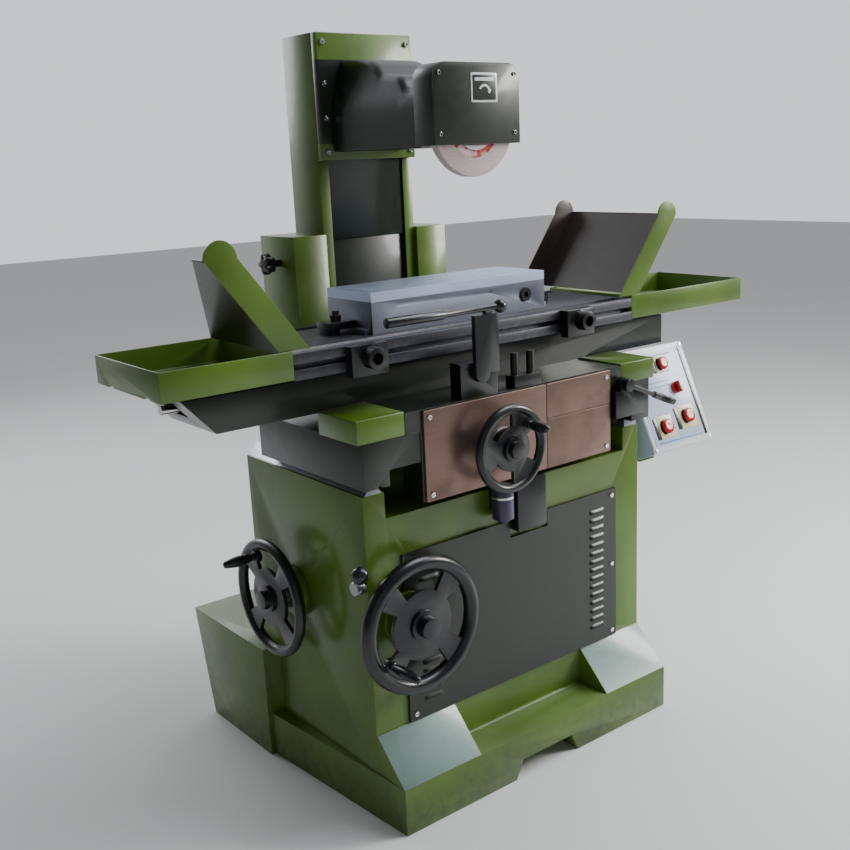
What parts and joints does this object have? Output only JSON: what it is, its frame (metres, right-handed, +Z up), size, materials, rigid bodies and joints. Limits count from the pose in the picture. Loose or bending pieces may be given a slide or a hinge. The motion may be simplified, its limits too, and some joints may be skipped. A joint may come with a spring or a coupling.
{
  "type": "surface grinder",
  "caption": "Horizontal-spindle surface grinder: cast base, saddle and reciprocating table with magnetic chuck, wheel head on a slim column, handwheels and control panel.",
  "frame": {"origin": "on the floor under the middle of the base, in line with the spindle", "axes": "+X right along the table, +Y away from the operator, +Z up"},
  "size_m": [1.519, 0.81, 1.503],
  "materials": {
    "pale_green": "gloss machine enamel",
    "dark_green": "gloss machine enamel",
    "bare_plate": "brushed plate",
    "ground_steel": "ground",
    "sheet_steel": "rolled sheet",
    "cast_iron": "machined",
    "chrome": "polished",
    "black_steel": "satin black",
    "black_plastic": "gloss",
    "red_plastic": "gloss",
    "panel_enamel": "satin enamel",
    "bronze": "machined bronze",
    "abrasive": "vitrified grit",
    "belt_rubber": "matt",
    "purple_band": "satin"
  },
  "bodies": {
    "base": {"base_casting": "pale_green", "front_door": "dark_green", "cover_screws": "chrome", "column": "pale_green", "lower_way_cover": "dark_green", "limit_box": "black_steel", "pilot_cylinder": "purple_band", "panel_housing": "panel_enamel", "panel_arm": "pale_green", "power_pack": "dark_green", "shaft_bearings": "pale_green", "cross_nut": "bronze"},
    "clamp_knob": {"column_clamp": "black_plastic"},
    "upper_button": {"upper_button": "red_plastic"},
    "left_button": {"left_button": "red_plastic"},
    "right_button": {"right_button": "red_plastic"},
    "selector": {"selector_knob": "black_plastic"},
    "side_lever": {"side_lever": "black_plastic"},
    "feed_front": {"vertical_handwheel": "black_steel", "vertical_shaft": "ground_steel"},
    "feed_front_grip": {"vertical_grip": "black_plastic"},
    "feed_side": {"side_handwheel": "black_steel", "side_shaft": "ground_steel"},
    "feed_side_grip": {"side_grip": "black_plastic"},
    "transfer": {"transfer_shaft": "ground_steel"},
    "lift_screw": {"elevating_screw": "ground_steel"},
    "head": {"head_slide": "pale_green", "head_casting": "dark_green", "feed_nut": "bronze", "upper_way_cover": "dark_green", "wheel_guard": "dark_green", "guard_cover": "dark_green", "spindle_motor": "cast_iron", "spindle_bearings": "ground_steel", "drive_belt": "belt_rubber"},
    "rotor": {"motor_rotor": "ground_steel"},
    "spindle": {"spindle": "ground_steel", "wheel_flanges": "ground_steel", "grinding_wheel": "abrasive"},
    "saddle": {"saddle_casting": "dark_green", "apron_plate": "bare_plate", "apron_screws": "chrome", "saddle_covers": "pale_green", "piston_rod": "chrome", "control_valves": "black_steel"},
    "reversing_lever": {"reversing_lever": "black_steel"},
    "throttle": {"throttle_lever": "black_steel"},
    "cross_feed": {"cross_handwheel": "black_steel", "cross_screw": "ground_steel"},
    "cross_grip": {"cross_grip": "black_plastic"},
    "table": {"table": "cast_iron", "table_cylinder": "ground_steel", "end_trays": "pale_green", "splash_guards": "sheet_steel", "chuck_body": "ground_steel", "chuck_plate": "ground_steel", "chuck_clamps": "black_steel"},
    "chuck_cam": {"chuck_cam": "black_steel"},
    "left_dog": {"left_dog": "black_steel"},
    "right_dog": {"right_dog": "black_steel"}
  },
  "joints": [
    {"name": "vertical_feed", "type": "hinge", "parent": "base", "child": "feed_front", "pos_m": [-0.29, 0, 0.4], "axis": [0, 1, 0], "range_deg": [0, 14400]},
    {"name": "head_feed", "type": "slide", "parent": "base", "child": "head", "axis": [0, 0, 1], "range_m": [-0.2002, 0.0002]},
    {"name": "side_feed", "type": "hinge", "parent": "base", "child": "feed_side", "pos_m": [0, -0.03, 0.4], "axis": [1, 0, 0], "range_deg": [-10, 14410]},
    {"name": "transfer_turn", "type": "hinge", "parent": "base", "child": "transfer", "pos_m": [0, 0, 0.4], "axis": [0, 1, 0], "range_deg": [-10, 14410]},
    {"name": "lift_turn", "type": "hinge", "parent": "base", "child": "lift_screw", "pos_m": [0, 0.237, 0.5], "axis": [0, 0, 1], "range_deg": [-10, 14410]},
    {"name": "front_grip_turn", "type": "hinge", "parent": "feed_front", "child": "feed_front_grip", "pos_m": [-0.36587, -0.345, 0.34283], "axis": [0, 1, 0], "continuous": true},
    {"name": "side_grip_turn", "type": "hinge", "parent": "feed_side", "child": "feed_side_grip", "pos_m": [-0.43, 0.0145, 0.47708], "axis": [1, 0, 0], "continuous": true},
    {"name": "saddle_cross", "type": "slide", "parent": "base", "child": "saddle", "axis": [0, 1, 0], "range_m": [-0.165, 0.015]},
    {"name": "cross_feed", "type": "hinge", "parent": "saddle", "child": "cross_feed", "pos_m": [-0.078, -0.3, 0.702], "axis": [0, 1, 0], "range_deg": [-11890, 1090]},
    {"name": "cross_grip_turn", "type": "hinge", "parent": "cross_feed", "child": "cross_grip", "pos_m": [-0.03699, -0.372, 0.74301], "axis": [0, 1, 0], "continuous": true},
    {"name": "table_traverse", "type": "slide", "parent": "saddle", "child": "table", "axis": [1, 0, 0], "range_m": [-0.225, 0.265]},
    {"name": "wheel_spin", "type": "hinge", "parent": "head", "child": "spindle", "pos_m": [0, 0, 1.304], "axis": [0, 1, 0], "continuous": true},
    {"name": "rotor_spin", "type": "hinge", "parent": "head", "child": "rotor", "pos_m": [0, 0.05, 1.382], "axis": [0, 1, 0], "continuous": true},
    {"name": "reverse_swing", "type": "hinge", "parent": "saddle", "child": "reversing_lever", "pos_m": [-0.105, -0.32, 0.846], "axis": [0, 1, 0], "range_deg": [-15, 15]},
    {"name": "throttle_swing", "type": "hinge", "parent": "saddle", "child": "throttle", "pos_m": [0.287, -0.34, 0.762], "axis": [0, 1, 0], "range_deg": [-30, 40]},
    {"name": "chuck_switch", "type": "hinge", "parent": "table", "child": "chuck_cam", "pos_m": [0.15, -0.16, 0.957], "axis": [0, 1, 0], "range_deg": [0, 180]},
    {"name": "left_dog_slide", "type": "slide", "parent": "table", "child": "left_dog", "axis": [1, 0, 0], "range_m": [-0.1, 0.18]},
    {"name": "right_dog_slide", "type": "slide", "parent": "table", "child": "right_dog", "axis": [1, 0, 0], "range_m": [-0.2, 0.135]},
    {"name": "clamp_turn", "type": "hinge", "parent": "base", "child": "clamp_knob", "pos_m": [-0.22, 0.215, 1.035], "axis": [1, 0, 0], "range_deg": [-120, 0]},
    {"name": "side_lever_swing", "type": "hinge", "parent": "base", "child": "side_lever", "pos_m": [-0.385, -0.278, 0.48], "axis": [1, 0, 0], "range_deg": [-60, 8]},
    {"name": "upper_button_press", "type": "slide", "parent": "base", "child": "upper_button", "axis": [0, 0.9107, -0.4131], "range_m": [0, 0.003], "stiffness_N_per_m": 2000},
    {"name": "left_button_press", "type": "slide", "parent": "base", "child": "left_button", "axis": [0, 0.9107, -0.4131], "range_m": [0, 0.003], "stiffness_N_per_m": 2000},
    {"name": "right_button_press", "type": "slide", "parent": "base", "child": "right_button", "axis": [0, 0.9107, -0.4131], "range_m": [0, 0.003], "stiffness_N_per_m": 2000},
    {"name": "selector_turn", "type": "hinge", "parent": "base", "child": "selector", "pos_m": [0.54, -0.25679, 0.70247], "axis": [0, -0.9107, 0.4131], "range_deg": [-45, 45]}
  ],
  "couplings": [
    {"joint": "head_feed", "follows": "vertical_feed", "m_per_rad": -0.00079577},
    {"joint": "side_feed", "follows": "vertical_feed", "ratio": 1},
    {"joint": "transfer_turn", "follows": "vertical_feed", "ratio": 1},
    {"joint": "lift_turn", "follows": "vertical_feed", "ratio": 1},
    {"joint": "cross_feed", "follows": "saddle_cross", "rad_per_m": 1256.6},
    {"joint": "rotor_spin", "follows": "wheel_spin", "ratio": 1.2}
  ]
}
